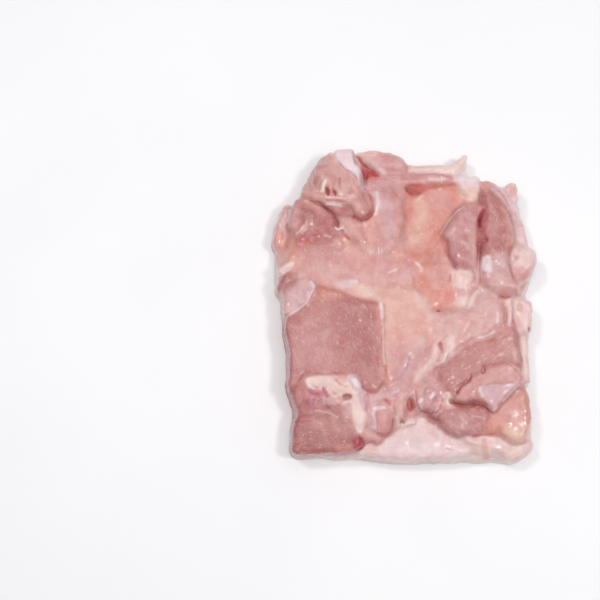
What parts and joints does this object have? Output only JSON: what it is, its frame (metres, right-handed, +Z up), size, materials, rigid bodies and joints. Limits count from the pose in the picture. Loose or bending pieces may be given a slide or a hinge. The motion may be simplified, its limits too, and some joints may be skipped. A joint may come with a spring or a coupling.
{
  "type": "raw chicken thigh",
  "caption": "Raw boned chicken thigh opened out flat, skin side down, with its muscles, fat and membranes showing on top.",
  "frame": {"origin": "middle of the flat underside, on the surface that the meat lies on", "axes": "+Z up through the meat, +Y along its length to the far end, where the strips and lobes are, and +X to the right of the meat seen from its near end"},
  "size_m": [0.136, 0.1631, 0.0267],
  "materials": {
    "flesh": "wet raw meat: rose muscle, pale pink membrane, cream fat and a pale skin below, soft and glossy"
  },
  "bodies": {
    "root": {"thigh": "flesh"}
  },
  "joints": []
}
